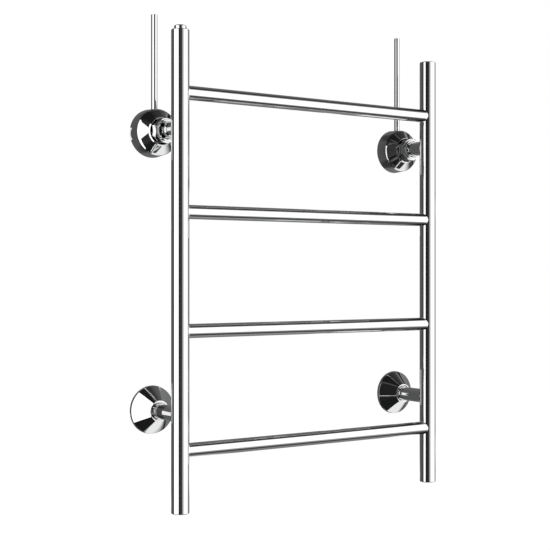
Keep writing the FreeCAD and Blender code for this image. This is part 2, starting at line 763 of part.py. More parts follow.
def grub_screw(label, sign):
    """The socket screw that locks the arm on its spigot, flush with the arm."""
    body = new_body(label)
    turn(body, ring_outline("0", "grub_diameter", "0", "arm_wall"))
    corner = f"grub_socket_flats {HEXAGON_CORNER}"
    prism(body, "SubtractivePrism", HEXAGON, corner, "0", "grub_socket_depth")
    level = f"-{FIXING_LEVEL} - stub_diameter / 2"
    return place(body, side_x(sign), "-grub_offset", level)


def rosette(label, sign):
    """The cone over the wall socket: straight rim, cone, round lip and a throat tube."""
    body = new_body(label)
    rim_front = "(rosette_diameter / 2 - rosette_rim_draft)"
    throat = f"{THROAT} / 2"
    lip = f"({throat} + rosette_lip_width)"
    throat_back = "rosette_depth - rosette_throat_depth"
    throat_outside = f"({throat} + rosette_throat_wall)"
    rise = f"(rosette_depth - rosette_rim_depth) / ({rim_front} - {lip})"
    seam = f"rosette_rim_depth + ({rim_front} - rosette_wall - {throat_outside}) * {rise}"
    turn(body, [
        ("rosette_diameter / 2 - rosette_wall", "0"),
        ("rosette_diameter / 2", "0"),
        (rim_front, "rosette_rim_depth"),
        (lip, "rosette_depth"),
        (throat, "rosette_depth"),
        (throat, throat_back),
        (throat_outside, throat_back),
        (throat_outside, seam),
        (f"{rim_front} - rosette_wall", "rosette_rim_depth"),
    ])
    lip_edges = [(f"2 * {lip}", "rosette_depth"), (THROAT, "rosette_depth")]
    soften(body, lip_edges, "rosette_lip_width * lip_round_share")
    return put_on_wall(body, sign, "-1")


def friction_ring(label, sign):
    """The rubber ring in the rosette's throat that grips the arm."""
    inner = "stub_diameter + 2 * running_clearance"
    high = "rosette_depth - friction_ring_inset"
    low = f"{high} - friction_ring_length"
    body = plain_ring(label, inner, THROAT, low, high)
    return put_on_wall(body, sign, "-1")


# Build every part once

parts = [rung(number) for number in range(1, RUNG_COUNT + 1)]
parts += [vent_boss(), vent_body(), vent_washer(), vent_needle(), vent_o_ring(), vent_cap()]
parts.append(end_plug("right_top_end_plug", "1", bottom=False))
for side, sign in SIDES:
    parts.append(upright(f"{side}_upright", sign))
    parts.append(end_plug(f"{side}_bottom_end_plug", sign, bottom=True))
    parts.append(backing_plate(f"{side}_backing_plate", sign))
    parts.append(wall_elbow(f"{side}_wall_elbow", sign))
    parts.append(union_gasket(f"{side}_union_gasket", sign))
    parts.append(inlet_stub(f"{side}_inlet_stub", sign))
    parts.append(slip_washer(f"{side}_slip_washer", sign))
    parts.append(union_nut(f"{side}_union_nut", sign))
    parts.append(cover_cup(f"{side}_cover_cup", sign))
    parts.append(feed_pipe(f"{side}_feed_pipe", sign, f"{side}_pipe_rise"))
    parts.append(olive(f"{side}_olive", sign))
    parts.append(pipe_nut(f"{side}_pipe_nut", sign))
    parts.append(wall_socket(f"{side}_wall_socket", sign))
    parts.append(bracket_arm(f"{side}_bracket_arm", sign))
    parts.append(grub_screw(f"{side}_grub_screw", sign))
    parts.append(rosette(f"{side}_rosette", sign))
    parts.append(friction_ring(f"{side}_friction_ring", sign))
doc.recompute()

# Check everything before anything is written

for item in doc.Objects:
    if "Invalid" in item.State or "Error" in item.State:
        raise RuntimeError(f"{item.Label} did not build: {item.State}")
for part in parts:
    if part.Shape.isNull() or not part.Shape.isValid() or len(part.Shape.Solids) != 1:
        raise RuntimeError(f"{part.Label} is not one valid solid")

os.makedirs("parts", exist_ok=True)
for part in parts:
    part.Shape.exportStep(f"parts/{part.Label}.step")
    box = part.Shape.BoundBox
    print(f"{part.Label}: {part.Shape.Volume:.0f} mm3, Y {box.YMin:.1f} to {box.YMax:.1f}")
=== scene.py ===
import json
import math

import bmesh
import bpy
import numpy as np
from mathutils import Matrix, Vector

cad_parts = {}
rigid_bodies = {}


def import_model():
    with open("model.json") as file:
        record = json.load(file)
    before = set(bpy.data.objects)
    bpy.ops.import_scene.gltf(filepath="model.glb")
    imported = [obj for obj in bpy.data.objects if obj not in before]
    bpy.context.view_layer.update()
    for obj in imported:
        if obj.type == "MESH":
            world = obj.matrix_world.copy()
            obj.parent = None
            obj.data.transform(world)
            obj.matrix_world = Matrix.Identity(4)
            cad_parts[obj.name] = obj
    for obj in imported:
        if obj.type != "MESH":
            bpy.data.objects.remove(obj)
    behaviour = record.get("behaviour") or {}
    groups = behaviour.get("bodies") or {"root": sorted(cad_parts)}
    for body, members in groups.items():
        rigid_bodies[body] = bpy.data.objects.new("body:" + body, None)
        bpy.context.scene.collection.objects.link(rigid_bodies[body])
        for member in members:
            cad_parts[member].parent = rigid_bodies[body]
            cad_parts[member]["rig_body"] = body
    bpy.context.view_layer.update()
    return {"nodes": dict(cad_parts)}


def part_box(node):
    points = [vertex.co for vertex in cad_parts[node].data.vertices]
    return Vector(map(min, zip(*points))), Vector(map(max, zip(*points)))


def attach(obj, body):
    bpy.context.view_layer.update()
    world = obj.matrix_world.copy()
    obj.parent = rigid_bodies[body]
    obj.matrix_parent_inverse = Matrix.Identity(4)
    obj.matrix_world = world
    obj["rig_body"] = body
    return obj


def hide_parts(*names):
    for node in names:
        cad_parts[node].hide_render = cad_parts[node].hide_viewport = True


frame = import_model()

# A water-heated ladder towel warmer in polished chrome, in metres, in the rack's own frame:
# the wall is the plane Y = 0, the rack stands in front of it at negative Y, Z is up.
# Every chromed piece is a smooth surface worked out here and rides on its CAD body.

MM = 0.001
SIDES = ("left", "right")
RUNGS = ("rung_1", "rung_2", "rung_3", "rung_4")
ACROSS, INTO_WALL, UP = np.eye(3)
STANDING = (ACROSS, INTO_WALL, UP)  # about a vertical axis
ON_WALL = (ACROSS, UP, -INTO_WALL)  # about an axis that points out of the wall
LYING = (INTO_WALL, UP, ACROSS)  # about an axis along the rungs
FULL_TURN = np.linspace(0, 2 * math.pi, 128, endpoint=False)
TOP = math.pi / 2  # the upward direction of a wall fitting, as an angle


# Places and sizes from the frame

def span(node):
    """Lowest and highest corner of a CAD node, as arrays."""
    low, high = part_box(node)
    return np.array(low), np.array(high)


def middle(node):
    """Centre of a CAD node's box."""
    low, high = span(node)
    return (low + high) / 2


def half_width(node):
    """Half of a CAD node's width along the rungs, which is the radius of a round one."""
    low, high = span(node)
    return (high[0] - low[0]) / 2


def depths(node):
    """How far off the wall a CAD node begins and ends."""
    low, high = span(node)
    return -high[1], -low[1]


def fixing(node):
    """The point on the wall behind a round wall fitting."""
    centre = middle(node)
    return np.array([centre[0], 0, centre[2]])


UPRIGHT_RADIUS = half_width("left_upright")
UPRIGHT_BORE = half_width("left_bottom_end_plug")
RUNG_RADIUS = (span("rung_1")[1][2] - span("rung_1")[0][2]) / 2
RUNG_WALL = 1.2 * MM
STUB_RADIUS = half_width("left_bracket_arm")
STUB_WALL = 1.5 * MM
ARM_WALL = 3 * MM
WALL_DISTANCE = -middle("left_upright")[1]
WELD_LEG = 0.9 * MM
TUBE_END_ROUND = 1.4 * MM
EDGE = 0.25 * MM  # broken edge of a machined part
HOLE_AT, HOLE = 22 * MM, 2.75 * MM  # wall screw holes, off centre to each side, and their radius
UNION_BORE = 9 * MM  # radius of the waterway through the union
UNION_THREAD, UNION_PITCH = 17 * MM, 2.309 * MM  # length of the union's thread, and its pitch
PORT_PITCH = 1.337 * MM
PLATE = 4 * MM  # thickness of a wall plate


# Surfaces: a profile turned about an axis, or rows of points that follow an angle

def unit(vector):
    """The vector at length one."""
    return vector / np.linalg.norm(vector)


def rounded(corners, steps=6):
    """Closed outline of (a, b) corners, where a corner (a, b, r) becomes an arc of radius r
    tangent to both its sides. One more point stands on each side just outside the arc, so
    that flat stretches stay flat when they are shaded smooth."""
    places = np.array([corner[:2] for corner in corners], float)
    radii = [corner[2] if len(corner) > 2 else 0 for corner in corners]
    runs = []
    for here, radius, before, after in zip(
        places, radii, np.roll(places, 1, 0), np.roll(places, -1, 0)
    ):
        if not radius:
            runs.append(here[None])
            continue
        back, ahead = unit(before - here), unit(after - here)
        half = math.acos(np.clip(back @ ahead, -1, 1)) / 2
        leg = radius / math.tan(half)
        centre = here + unit(back + ahead) * radius / math.sin(half)
        turn = math.pi - 2 * half
        share = np.linspace(0, 1, steps + 1)[:, None]
        first, last = here + back * leg - centre, here + ahead * leg - centre
        arc = centre + (np.sin((1 - share) * turn) * first + np.sin(share * turn) * last) / math.sin(turn)
        margin = radius * 0.15
        runs.append(np.vstack([here + back * (leg + margin), arc, here + ahead * (leg + margin)]))
    return np.vstack(runs)


def shoulder(start, end_radius, round_radius=8 * MM, first=20, last=54, steps=16):
    """Profile of the cup's front: from a crease at the collar the surface turns over a round,
    then runs straight in to the lip. Each point is (radius, height, turn), where turn is how
    far its normal leans from the radial direction towards the front. On the round the radius
    falls with the cosine of the turn and the height grows with its sine."""
    turn = np.radians(np.linspace(first, last, steps))
    radius = start[0] - round_radius * (math.cos(turn[0]) - np.cos(turn))
    height = start[1] + round_radius * (np.sin(turn) - math.sin(turn[0]))
    end_height = height[-1] + (radius[-1] - end_radius) / math.tan(turn[-1])
    points = list(zip(radius, height, turn))
    return points + [(end_radius, end_height, turn[-1])]


def about(centre, axes, radius, height, turn=FULL_TURN):
    """Grid of points about an axis: the point in row i and column j stands at the angle
    turn[j], at radius[i, j] from the axis and at height[i, j] along it."""
    radius, height = np.broadcast_arrays(radius, height, np.zeros((1, len(turn))))[:2]
    side_one, side_two, along = axes
    outwards = np.cos(turn)[:, None] * side_one + np.sin(turn)[:, None] * side_two
    return centre + radius[..., None] * outwards + height[..., None] * along


def turned(centre, axes, corners, steps=6, turn=FULL_TURN):
    """A closed profile of (radius, height) corners turned about an axis."""
    radius, height = rounded(corners, steps).T
    return about(centre, axes, radius[:, None], height[:, None], turn)


def faceted(turn, sides, flat, edge):
    """Radius of a regular polygon at each angle, with a flat at angle 0: flat / cos of the
    angle from the middle of the flat, and near a corner a circle of radius edge instead."""
    half = math.pi / sides
    off_flat = (turn + half) % (2 * half) - half
    off_corner = half - np.abs(off_flat)
    centre = (flat - edge) / math.cos(half)
    tangent = math.atan2(edge * math.sin(half), centre + edge * math.cos(half))
    inside = np.clip(edge**2 - (centre * np.sin(off_corner)) ** 2, 0, None)
    on_round = centre * np.cos(off_corner) + np.sqrt(inside)
    return np.where(off_corner < tangent, on_round, flat / np.cos(off_flat))


def polygon_turn(sides):
    """Angles for a polygon's columns: even ones, and closer ones round each corner."""
    corners = (np.arange(sides) + 0.5) * 2 * math.pi / sides
    close = (corners[:, None] + np.radians(np.linspace(-0.9, 0.9, 7))).ravel()
    return np.unique(np.round(np.concatenate([FULL_TURN, close]) % (2 * math.pi), 6))


def weld_rows(tube, share, foot=WELD_LEG, steps=6):
    """Radius and reach of the polished weld where a small tube stands on an upright. share
    is how much of the tube's radius points across the upright at each angle. The rows are a
    quadratic curve from the tube's side, past the line where the two tubes meet, to the
    upright's side; reach is the distance from the upright's axis."""
    t = np.linspace(0, 1, steps + 1)[:, None]
    meet = np.sqrt(UPRIGHT_RADIUS**2 - (tube * share) ** 2)
    spread = np.sqrt(UPRIGHT_RADIUS**2 - ((tube + foot) * share) ** 2)
    reach = (1 - t) ** 2 * (meet + foot) + 2 * t * (1 - t) * meet + t**2 * spread
    return tube + foot * t**2 + 0 * share, reach


def threaded(low, high, radius, depth, pitch, turn=FULL_TURN, rows_per_pitch=10):
    """Radius and height of a screw thread: the radius falls by depth, as a rounded wave of
    the height over the pitch less the angle over a turn, and fades out at both ends."""
    rows = int((high - low) / pitch * rows_per_pitch)
    height = np.linspace(low, high, rows)[:, None]
    phase = (height - low) / pitch - turn / (2 * math.pi)
    wave = np.abs((phase % 1) * 2 - 1)
    ends = np.minimum(height - low, high - height) / (pitch / 2)
    fade = np.clip(ends, 0, 1)
    return radius - depth * fade * np.clip(wave * 1.3 - 0.1, 0, 1), height + 0 * turn


# Meshes

def quads_of(grid, closed):
    """Points, faces and surface coordinates of a grid. Its columns run round; its rows close
    as well if told. The coordinates are the share of a turn and the metres along the rows."""
    rows, columns = grid.shape[:2]
    i, j = np.meshgrid(np.arange(rows if closed else rows - 1), np.arange(columns), indexing="ij")
    below, beside = (i + 1) % rows, (j + 1) % columns
    faces = np.stack(
        [i * columns + j, i * columns + beside, below * columns + beside, below * columns + j], -1
    )
    steps = np.linalg.norm(np.roll(grid, -1, 0) - grid, axis=2).mean(1)
    along = np.concatenate([[0], np.cumsum(steps)])
    u = np.stack([j, j + 1, j + 1, j], -1) / columns
    v = along[np.stack([i, i, i + 1, i + 1], -1)]
    return grid.reshape(-1, 3), faces.reshape(-1, 4), np.stack([u, v], -1).reshape(-1, 2)


def add_grid(work, grid, closed):
    """Put a grid into a bmesh, merge its doubled points and turn its faces outwards. Known
    fault: in a piece of several grids, a later grid's points may take the places that merged
    points left free, and those are missed, so some edges of the wall plates stay open."""
    points, faces, lay = quads_of(grid, closed)
    mesh = bpy.data.meshes.new("grid")
    mesh.from_pydata(points.tolist(), [], faces.tolist())
    mesh.uv_layers.new(name="turning").data.foreach_set("uv", lay.ravel())
    held = len(work.verts)
    work.from_mesh(mesh)
    bpy.data.meshes.remove(mesh)
    work.verts.ensure_lookup_table()
    added = work.verts[held:]
    bmesh.ops.remove_doubles(work, verts=added, dist=0.001 * MM)
    work.verts.ensure_lookup_table()
    faces = {face for vert in work.verts[held:] for face in vert.link_faces}
    bmesh.ops.recalc_face_normals(work, faces=list(faces))


def piece(name, node, grids, finish, closed=True, crease=35):
    """One object from one or more grids, in place of a CAD node and on that node's body."""
    work = bmesh.new()
    for grid in grids:
        add_grid(work, grid, closed)
    mesh = bpy.data.meshes.new(name)
    work.to_mesh(mesh)
    work.free()
    mesh.shade_smooth()
    mesh.set_sharp_from_angle(angle=math.radians(crease))
    mesh.materials.append(finish)
    made = bpy.data.objects.new(name, mesh)
    bpy.context.scene.collection.objects.link(made)
    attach(made, frame["nodes"][node]["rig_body"])
    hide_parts(node)
    return made


# Finishes

def socketed_group(name, inputs, outputs):
    """An empty shader node group with named float sockets."""
    group = bpy.data.node_groups.new(name, "ShaderNodeTree")
    for label, value in inputs:
        socket = group.interface.new_socket(label, in_out="INPUT", socket_type="NodeSocketFloat")
        socket.default_value = value
    for label, kind in outputs:
        group.interface.new_socket(label, in_out="OUTPUT", socket_type=kind)
    return group, group.nodes.new("NodeGroupInput"), group.nodes.new("NodeGroupOutput")


def add_node(tree, kind, links=None, **values):
    """A node with plain values set by socket name and links made from given sockets."""
    node = tree.nodes.new(kind)
    for label, value in values.items():
        if label in node.inputs:
            node.inputs[label].default_value = value
        else:
            setattr(node, label, value)
    for label, source in (links or {}).items():
        tree.links.new(source, node.inputs[label])
    return node


def product(tree, first, second):
    """Two values multiplied."""
    return add_node(tree, "ShaderNodeMath", {0: first, 1: second}, operation="MULTIPLY").outputs[0]


def polish_group():
    """Plated mirror finish: broad haze from wiping, fine pores, and a slow orange-peel wave."""
    group, given, result = socketed_group(
        "polish",
        [("Clear", 0.03), ("Hazy", 0.08), ("Wave", 160.0)],
        [("Roughness", "NodeSocketFloat"), ("Height", "NodeSocketFloat")],
    )
    place = add_node(group, "ShaderNodeTexCoord").outputs["Object"]
    wipes = add_node(
        group, "ShaderNodeTexNoise", {"Vector": place}, Scale=38.0, Detail=4.0, Roughness=0.62
    )
    pores = add_node(group, "ShaderNodeTexNoise", {"Vector": place}, Scale=2600.0, Detail=1.0)
    mixed = product(group, wipes.outputs["Fac"], pores.outputs["Fac"])
    spread = add_node(
        group,
        "ShaderNodeMapRange",
        {"Value": mixed, "To Min": given.outputs["Clear"], "To Max": given.outputs["Hazy"]},
        interpolation_type="SMOOTHSTEP",
        **{"From Min": 0.16, "From Max": 0.42},
    )
    peel = add_node(
        group, "ShaderNodeTexNoise", {"Vector": place, "Scale": given.outputs["Wave"]}, Detail=1.0
    )
    group.links.new(spread.outputs["Result"], result.inputs["Roughness"])
    group.links.new(peel.outputs["Fac"], result.inputs["Height"])
    return group


def turning_group():
    """Lathe marks: fine lines round the axis, a few deeper than the rest."""
    group, given, result = socketed_group(
        "turning",
        [("Lines", 5200.0), ("Smooth", 0.2), ("Rough", 0.4)],
        [("Roughness", "NodeSocketFloat"), ("Height", "NodeSocketFloat"), ("Stain", "NodeSocketFloat")],
    )
    surface = add_node(group, "ShaderNodeUVMap", uv_map="turning").outputs["UV"]
    split = add_node(group, "ShaderNodeSeparateXYZ", {"Vector": surface})
    along = product(group, split.outputs["Y"], given.outputs["Lines"])
    stretched = add_node(group, "ShaderNodeCombineXYZ", {"X": split.outputs["X"], "Y": along})
    lines = add_node(
        group,
        "ShaderNodeTexNoise",
        {"Vector": stretched.outputs[0]},
        Scale=1.0,
        Detail=3.0,
        Roughness=0.7,
    )
    place = add_node(group, "ShaderNodeTexCoord").outputs["Object"]
    stain = add_node(group, "ShaderNodeTexNoise", {"Vector": place}, Scale=120.0, Detail=5.0, Roughness=0.65)
    spread = add_node(
        group,
        "ShaderNodeMapRange",
        {"Value": lines.outputs["Fac"], "To Min": given.outputs["Smooth"], "To Max": given.outputs["Rough"]},
        **{"From Min": 0.3, "From Max": 0.7},
    )
    group.links.new(spread.outputs["Result"], result.inputs["Roughness"])
    group.links.new(lines.outputs["Fac"], result.inputs["Height"])
    group.links.new(stain.outputs["Fac"], result.inputs["Stain"])
    return group


POLISH = polish_group()
TURNING = turning_group()


def new_material(name):
    """A material with its node tree, its shader and the tree's links."""
    material = bpy.data.materials.new(name)
    material.use_nodes = True
    tree = material.node_tree
    return material, tree, tree.nodes["Principled BSDF"]


def placed_group(tree, group, **values):
    """A group node with its inputs set."""
    node = tree.nodes.new("ShaderNodeGroup")
    node.node_tree = group
    for label, value in values.items():
        node.inputs[label].default_value = value
    return node


def bumped(tree, shader, height, strength, distance):
    """Feed a height into the shader's normal."""
    bump = add_node(tree, "ShaderNodeBump", {"Height": height}, Strength=strength, Distance=distance)
    tree.links.new(bump.outputs["Normal"], shader.inputs["Normal"])


def chrome(name, colour, clear, hazy, wave):
    """Mirror-polished plating."""
    material, tree, shader = new_material(name)
    shader.inputs["Base Color"].default_value = (*colour, 1)
    shader.inputs["Metallic"].default_value = 1
    polish = placed_group(tree, POLISH, Clear=clear, Hazy=hazy, Wave=wave)
    tree.links.new(polish.outputs["Roughness"], shader.inputs["Roughness"])
    bumped(tree, shader, polish.outputs["Height"], 0.1, 0.002 * MM)
    return material


def machined(name, bright, dull, metallic, smooth, rough, lines=5200.0):
    """Turned bare metal, stained unevenly between two colours."""
    material, tree, shader = new_material(name)
    shader.inputs["Metallic"].default_value = metallic
    marks = placed_group(tree, TURNING, Lines=lines, Smooth=smooth, Rough=rough)
    ramp = tree.nodes.new("ShaderNodeValToRGB")
    ramp.color_ramp.elements[0].position = 0.35
    ramp.color_ramp.elements[0].color = (*dull, 1)
    ramp.color_ramp.elements[1].position = 0.62
    ramp.color_ramp.elements[1].color = (*bright, 1)
    tree.links.new(marks.outputs["Stain"], ramp.inputs["Fac"])
    tree.links.new(ramp.outputs["Color"], shader.inputs["Base Color"])
    tree.links.new(marks.outputs["Roughness"], shader.inputs["Roughness"])
    bumped(tree, shader, marks.outputs["Height"], 0.35, 0.02 * MM)
    return material


def moulded(name, light, dark, roughness, grain, coarse):
    """Rubber or nylon: a mottled colour and a fine moulded grain."""
    material, tree, shader = new_material(name)
    place = add_node(tree, "ShaderNodeTexCoord").outputs["Object"]
    mottle = add_node(tree, "ShaderNodeTexNoise", {"Vector": place}, Scale=coarse, Detail=4.0)
    ramp = tree.nodes.new("ShaderNodeValToRGB")
    ramp.color_ramp.elements[0].color = (*dark, 1)
    ramp.color_ramp.elements[1].color = (*light, 1)
    tree.links.new(mottle.outputs["Fac"], ramp.inputs["Fac"])
    tree.links.new(ramp.outputs["Color"], shader.inputs["Base Color"])
    shader.inputs["Roughness"].default_value = roughness
    fine = add_node(tree, "ShaderNodeTexNoise", {"Vector": place}, Scale=grain, Detail=2.0)
    bumped(tree, shader, fine.outputs["Fac"], 0.4, 0.03 * MM)
    return material


CHROME_TUBE = chrome("chrome_tube", (0.83, 0.835, 0.84), 0.015, 0.045, 150.0)
CHROME_FITTING = chrome("chrome_fitting", (0.84, 0.845, 0.85), 0.012, 0.04, 260.0)
BRASS = machined("machined_brass", (0.78, 0.56, 0.26), (0.52, 0.36, 0.17), 1.0, 0.18, 0.38)
ZINC = machined("zinc_plate", (0.66, 0.68, 0.70), (0.46, 0.49, 0.52), 1.0, 0.28, 0.5, 1900.0)
STEEL = machined("stainless_steel", (0.58, 0.585, 0.59), (0.42, 0.43, 0.44), 1.0, 0.2, 0.36)
RUBBER = moulded("black_rubber", (0.035, 0.035, 0.037), (0.015, 0.015, 0.016), 0.62, 2400.0, 300.0)
NYLON = moulded("natural_nylon", (0.84, 0.82, 0.76), (0.74, 0.71, 0.64), 0.38, 1500.0, 160.0)


# The welded ladder

def upright(side):
    """A tube with rounded ends."""
    node = f"{side}_upright"
    low, high = span(node)
    axis = np.array([*middle(node)[:2], 0])
    return piece(f"{side}_upright_tube", node, [turned(axis, STANDING, [
        (UPRIGHT_RADIUS, low[2], TUBE_END_ROUND),
        (UPRIGHT_RADIUS, high[2], TUBE_END_ROUND),
        (UPRIGHT_BORE, high[2], EDGE / 2),
        (UPRIGHT_BORE, low[2], EDGE / 2),
    ])], CHROME_TUBE)


def end_disc(node):
    """The disc welded into a tube end, with a fine seam round it."""
    low, high = span(node)
    axis = np.array([*middle(node)[:2], 0])
    radius = UPRIGHT_BORE - 0.02 * MM
    return piece(f"{node}_disc", node, [turned(axis, STANDING, [
        (0, low[2]),
        (radius, low[2], EDGE),
        (radius, high[2], EDGE),
        (0, high[2]),
    ])], CHROME_TUBE, closed=False)


def rung(node):
    """A cross tube whose ends are cut to the round of the uprights and welded all round."""
    share = np.cos(FULL_TURN)
    half = (middle("right_upright")[0] - middle("left_upright")[0]) / 2
    radius, reach = weld_rows(RUNG_RADIUS, share)
    bore = RUNG_RADIUS - RUNG_WALL
    inner = np.sqrt(UPRIGHT_RADIUS**2 - (bore * share) ** 2)[None]
    rows = np.vstack([radius[::-1], radius, bore + 0 * inner, bore + 0 * inner])
    ends = np.vstack([reach[::-1] - half, half - reach, half - inner, inner - half])
    grid = about(middle(node), LYING, rows, ends)
    return piece(f"{node}_tube", node, [grid], CHROME_TUBE)


def coped_tube(name, node, corners, bore):
    """A tube that begins off the wall with a profile of corners and ends on an upright."""
    share = np.cos(FULL_TURN)
    radius, reach = weld_rows(STUB_RADIUS, share)
    ending = [(STUB_RADIUS, WALL_DISTANCE), (bore, WALL_DISTANCE)]
    start = rounded(corners + ending)[:-2]
    inner = np.sqrt(UPRIGHT_RADIUS**2 - (bore * share) ** 2)[None]
    flat = 0 * share
    rows = np.vstack([start[:, :1] + flat, radius, bore + 0 * inner])
    height = np.vstack([start[:, 1:] + flat, WALL_DISTANCE - reach, WALL_DISTANCE - inner])
    grid = about(fixing(node), ON_WALL, rows, height)
    return piece(name, node, [grid], CHROME_TUBE)


def inlet_stub(side):
    """The collared tube from the union to the upright."""
    node = f"{side}_inlet_stub"
    bore = STUB_RADIUS - STUB_WALL
    collar = half_width(node)
    back = depths(node)[0]
    front = depths(f"{side}_slip_washer")[0]
    return coped_tube(f"{side}_stub_tube", node, [
        (bore, back),
        (collar, back, EDGE),
        (collar, front, EDGE),
        (STUB_RADIUS, front, 2 * EDGE),
    ], bore)


def bracket_arm(side):
    """The plain tube from the wall socket to the upright."""
    node = f"{side}_bracket_arm"
    bore = STUB_RADIUS - ARM_WALL
    start = depths(node)[0]
    return coped_tube(f"{side}_arm_tube", node, [(bore, start), (STUB_RADIUS, start, 2 * EDGE)], bore)


# Upper fittings

def union_nut(side):
    """Eight flats, chamfered to a circle at both ends, with a turned ring and a recess in
    front. A chamfer's rows rise as the polygon's radius grows past its flat."""
    node = f"{side}_union_nut"
    back, front = depths(node)
    flat = half_width(node)
    turn = polygon_turn(8)
    outside = faceted(turn, 8, flat, 0.5 * MM)[None]
    chamfer = (outside - flat) * 0.62
    ring, recess = flat - 1.8 * MM, flat - 4.1 * MM
    ring_start = front - 3.5 * MM
    lip_front, lip_back = front - 4 * MM, depths(f"{side}_slip_washer")[1]
    mouth = STUB_RADIUS + 0.1 * MM
    bore = half_width(f"{side}_inlet_stub") + 1.48 * MM
    margin = 0.3 * MM
    tail = rounded([
        (flat, ring_start),
        (ring, ring_start, EDGE),
        (ring, front, 0.9 * MM),
        (recess, front, 0.3 * MM),
        (recess - 0.3 * MM, front - 1.2 * MM, 0.4 * MM),
        (mouth + 0.3 * MM, lip_front - 0.4 * MM, 0.2 * MM),
        (mouth, lip_back),
        (bore, lip_back),
        (bore, back, EDGE),
        (flat - margin, back),
        (flat, back),
    ])
    flats = [back + chamfer, back + chamfer + margin, ring_start - chamfer - margin, ring_start - chamfer]
    flat_line = 0 * turn
    rows = np.vstack([outside] * 4 + [tail[:, :1] + flat_line])
    height = np.vstack(flats + [tail[:, 1:] + flat_line])
    grid = about(fixing(node), ON_WALL, rows, height, turn)
    return piece(f"{side}_union_nut_octagon", node, [grid], CHROME_FITTING, crease=25)


def cover_cup(side):
    """Tapered collar, a front that turns in over a round, and a lip. The rim at the wall rises over the feed
    pipe in a round-ended notch: within its width the rim stands at the pipe's distance plus
    the height of a half circle."""
    node = f"{side}_cover_cup"
    nut = half_width(f"{side}_union_nut")
    depth = depths(node)[1]
    rim, front = half_width(node), half_width(node) - 1.5 * MM
    collar, sheet = 22 * MM, 1 * MM
    mouth = nut / math.cos(math.pi / 8) + 0.45 * MM
    lip = mouth + 1.9 * MM
    outside = shoulder((front, collar), lip)
    inside = [
        (radius - sheet * math.cos(turn), height - sheet * math.sin(turn))
        for radius, height, turn in outside
    ]
    outline = rounded([
        (rim - sheet, 0, 0.3 * MM),
        (rim, 0, 0.3 * MM),
        *[point[:2] for point in outside],
        (lip, depth - 0.9 * MM, 0.3 * MM),
        (mouth + 0.5 * MM, depth + 0.7 * MM, 0.5 * MM),
        (mouth, depth + 0.5 * MM, 0.2 * MM),
        (mouth, inside[-1][1]),
        *inside[-2::-1],
    ])
    pipe = half_width(f"{side}_feed_pipe") + 0.45 * MM
    offset = -middle(f"{side}_feed_pipe")[1]
    edge = math.asin(pipe / rim)
    notch = np.linspace(-edge, edge, 25)
    beside = np.array([-edge - 1e-4, edge + 1e-4])
    turn = np.sort(np.concatenate([FULL_TURN, TOP + notch, TOP + beside]))
    across = rim * np.cos(turn)
    inside = (np.abs(turn - TOP) <= edge + 1e-6) & (np.abs(across) <= pipe * 1.0001)
    lift = np.where(inside, offset + np.sqrt(np.clip(pipe**2 - across**2, 0, None)), 0)
    radius, height = outline[:, :1], outline[:, 1:]
    rises = height < 1 * MM
    slope = (rim - front) / collar
    grid = about(
        fixing(f"{side}_union_nut"), ON_WALL, radius - rises * lift * slope, height + rises * lift, turn
    )
    return piece(f"{side}_cup_shell", node, [grid], CHROME_FITTING, crease=28)


def feed_pipe(side):
    """The plain pipe that runs up along the wall."""
    node = f"{side}_feed_pipe"
    low, high = span(node)
    axis = np.array([*middle(node)[:2], 0])
    outside = half_width(node)
    return piece(f"{side}_feed_pipe_tube", node, [turned(axis, STANDING, [
        (outside, low[2], EDGE),
        (outside, high[2], EDGE),
        (outside - 1 * MM, high[2], EDGE),
        (outside - 1 * MM, low[2], EDGE),
    ])], CHROME_TUBE)


def pipe_nut(side):
    """The hexagon compression nut, chamfered at both ends."""
    node = f"{side}_pipe_nut"
    low, high = span(node)
    axis = np.array([*middle(node)[:2], 0])
    turn = polygon_turn(6)
    flat = (high[1] - low[1]) / 2
    corner = half_width(node)
    flat = min(flat, corner * math.cos(math.pi / 6))
    outside = faceted(turn + TOP, 6, flat, 0.3 * MM)[None]
    chamfer = (outside - flat) * 0.6
    bore = half_width(f"{side}_feed_pipe") + 0.1 * MM
    thread = half_width(f"{side}_olive") + 0.38 * MM
    shoulder = span(f"{side}_olive")[1][2] + 0.1 * MM
    tail = rounded([
        (flat, high[2]),
        (bore, high[2], EDGE),
        (bore, shoulder),
        (thread, shoulder),
        (thread, low[2], EDGE),
        (flat, low[2]),
    ])
    flat_line = 0 * turn
    rows = np.vstack([outside, outside, tail[:, :1] + flat_line])
    height = np.vstack([low[2] + chamfer, high[2] - chamfer, tail[:, 1:] + flat_line])
    grid = about(axis, STANDING, rows, height, turn)
    return piece(f"{side}_pipe_nut_hexagon", node, [grid], BRASS, crease=25)


def plain_ring(name, node, axes, corners, finish):
    """A ring, washer or seal turned about its own axis."""
    centre = fixing(node) if axes is ON_WALL else np.array([*middle(node)[:2], 0])
    return piece(name, node, [turned(centre, axes, corners)], finish)


def olive(side):
    """The compression ring: a barrel with two conical ends."""
    node = f"{side}_olive"
    low, high = span(node)
    inner, outer = half_width(f"{side}_feed_pipe") + 0.01 * MM, half_width(node)
    cone = 1.3 * MM
    return plain_ring(f"{side}_olive_ring", node, STANDING, [
        (inner, low[2]),
        (inner + 0.3 * MM, low[2]),
        (outer, low[2] + cone, 0.3 * MM),
        (outer, high[2] - cone, 0.3 * MM),
        (inner + 0.3 * MM, high[2]),
        (inner, high[2]),
    ], BRASS)


def flat_ring(name, node, bore, edge, finish):
    """A flat washer on a union or in a rosette."""
    back, front = depths(node)
    outer = half_width(node)
    return plain_ring(name, node, ON_WALL, [
        (bore, back, edge),
        (outer, back, edge),
        (outer, front, edge),
        (bore, front, edge),
    ], finish)


